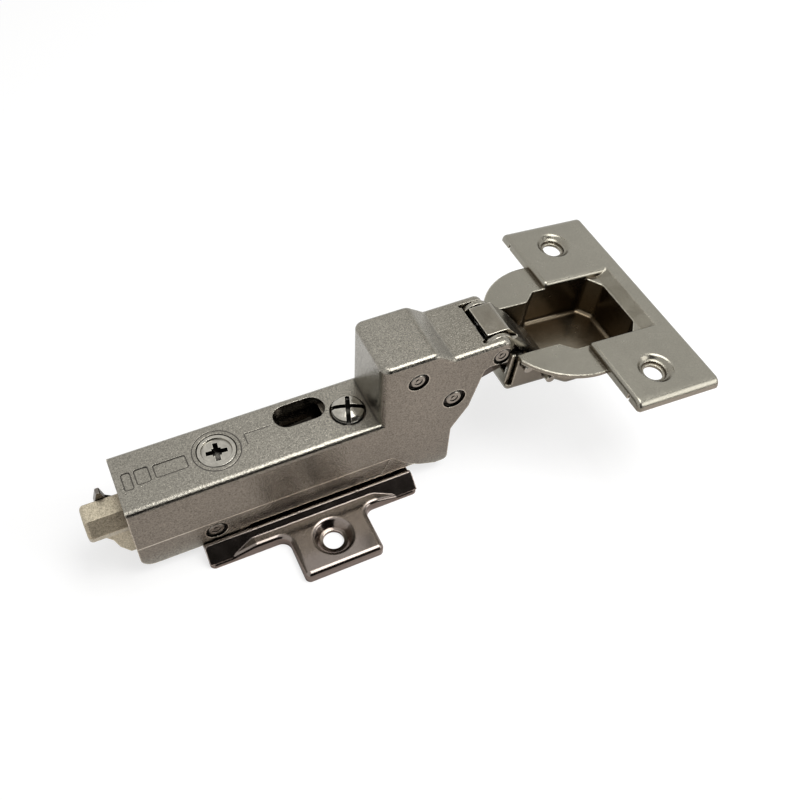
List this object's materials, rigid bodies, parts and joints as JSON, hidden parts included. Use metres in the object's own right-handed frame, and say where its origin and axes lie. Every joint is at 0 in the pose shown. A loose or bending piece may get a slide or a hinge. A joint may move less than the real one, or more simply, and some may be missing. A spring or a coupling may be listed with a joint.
{
  "type": "concealed cup hinge",
  "caption": "Concealed cabinet hinge: clip-on cranked arm on a wing mounting plate, two folding links and a pressed cup with screw wings, drawn fully open.",
  "frame": {"origin": "midway between the two fixing holes of the wing plate, on the cabinet wall under the plate", "axes": "+X along the arm towards the door cup, +Z off the cabinet wall, +Y along the line of the fixing holes"},
  "size_m": [0.132, 0.0582, 0.0404],
  "materials": {
    "cast_nickel": "satin nickel plating on fine-grained die-cast zinc",
    "sheet_nickel": "smooth satin nickel on pressed steel sheet",
    "link_nickel": "satin nickel on folded steel",
    "plate_nickel": "glossy dark nickel with bright rims",
    "raw_zinc": "matt raw die-cast zinc, slightly yellow",
    "bright_steel": "bright zinc-plated steel",
    "dark_steel": "dark oiled steel",
    "spring_steel": "spring steel wire"
  },
  "bodies": {
    "mounting": {"base_plate": "plate_nickel", "plate_rail": "dark_steel", "rail_rivet_rear": "bright_steel", "rail_rivet_front": "bright_steel", "carrier": "dark_steel", "lever_pin": "bright_steel", "latch_leaf": "dark_steel", "lever_spring": "spring_steel"},
    "lever": {"release_lever": "raw_zinc"},
    "rear_pivot": {"rear_pivot_pin": "bright_steel"},
    "arm": {"arm_body": "cast_nickel", "tip_pin": "bright_steel", "link_pin": "bright_steel", "spring_pin": "bright_steel", "closing_spring": "spring_steel"},
    "adjusting_screw": {"overlay_screw": "bright_steel"},
    "cam": {"depth_cam": "bright_steel"},
    "front_link": {"outer_link": "link_nickel"},
    "cup": {"hinge_cup": "sheet_nickel", "cup_axle": "bright_steel"},
    "rear_link": {"inner_link": "dark_steel"}
  },
  "joints": [
    {"name": "release", "type": "hinge", "parent": "mounting", "child": "lever", "pos_m": [-0.0265, 0, 0.013], "axis": [0, 1, 0], "range_deg": [0, 10], "stiffness_Nm_per_rad": 0.25, "springref_deg": -14.32, "deforming": ["lever_spring"]},
    {"name": "depth_adjust", "type": "slide", "parent": "mounting", "child": "rear_pivot", "axis": [1, 0, 0], "range_m": [-0.002, 0.002]},
    {"name": "overlay_tilt", "type": "hinge", "parent": "rear_pivot", "child": "arm", "pos_m": [-0.0228, 0, 0.0069], "axis": [0, 1, 0], "range_deg": [-1.5, 1.5]},
    {"name": "overlay_screw_turn", "type": "hinge", "parent": "rear_pivot", "child": "adjusting_screw", "pos_m": [0.01, -0.0007, 0.02], "axis": [0, 0, 1], "range_deg": [-320, 320]},
    {"name": "depth_cam_turn", "type": "hinge", "parent": "arm", "child": "cam", "pos_m": [-0.0185, 0.0004, 0.022], "axis": [0, 0, 1], "range_deg": [-46, 46]},
    {"name": "outer_link_fold", "type": "hinge", "parent": "arm", "child": "front_link", "pos_m": [0.0422, 0, 0.0335], "axis": [0, 1, 0], "range_deg": [0, 36.6]},
    {"name": "door_fold", "type": "hinge", "parent": "front_link", "child": "cup", "pos_m": [0.05496, 0, 0.02239], "axis": [0, 1, 0], "range_deg": [-131.48, 0], "deforming": ["closing_spring"]},
    {"name": "inner_link_fold", "type": "hinge", "parent": "cup", "child": "rear_link", "pos_m": [0.0483, 0, 0.02871], "axis": [0, 1, 0], "range_deg": [0, 169]}
  ],
  "couplings": [
    {"joint": "overlay_screw_turn", "follows": "overlay_tilt", "ratio": 206},
    {"joint": "depth_cam_turn", "follows": "depth_adjust", "rad_per_m": -397.8},
    {"joint": "outer_link_fold", "follows": "door_fold", "ratio": -0.27746},
    {"joint": "inner_link_fold", "follows": "door_fold", "ratio": -1.2832}
  ]
}
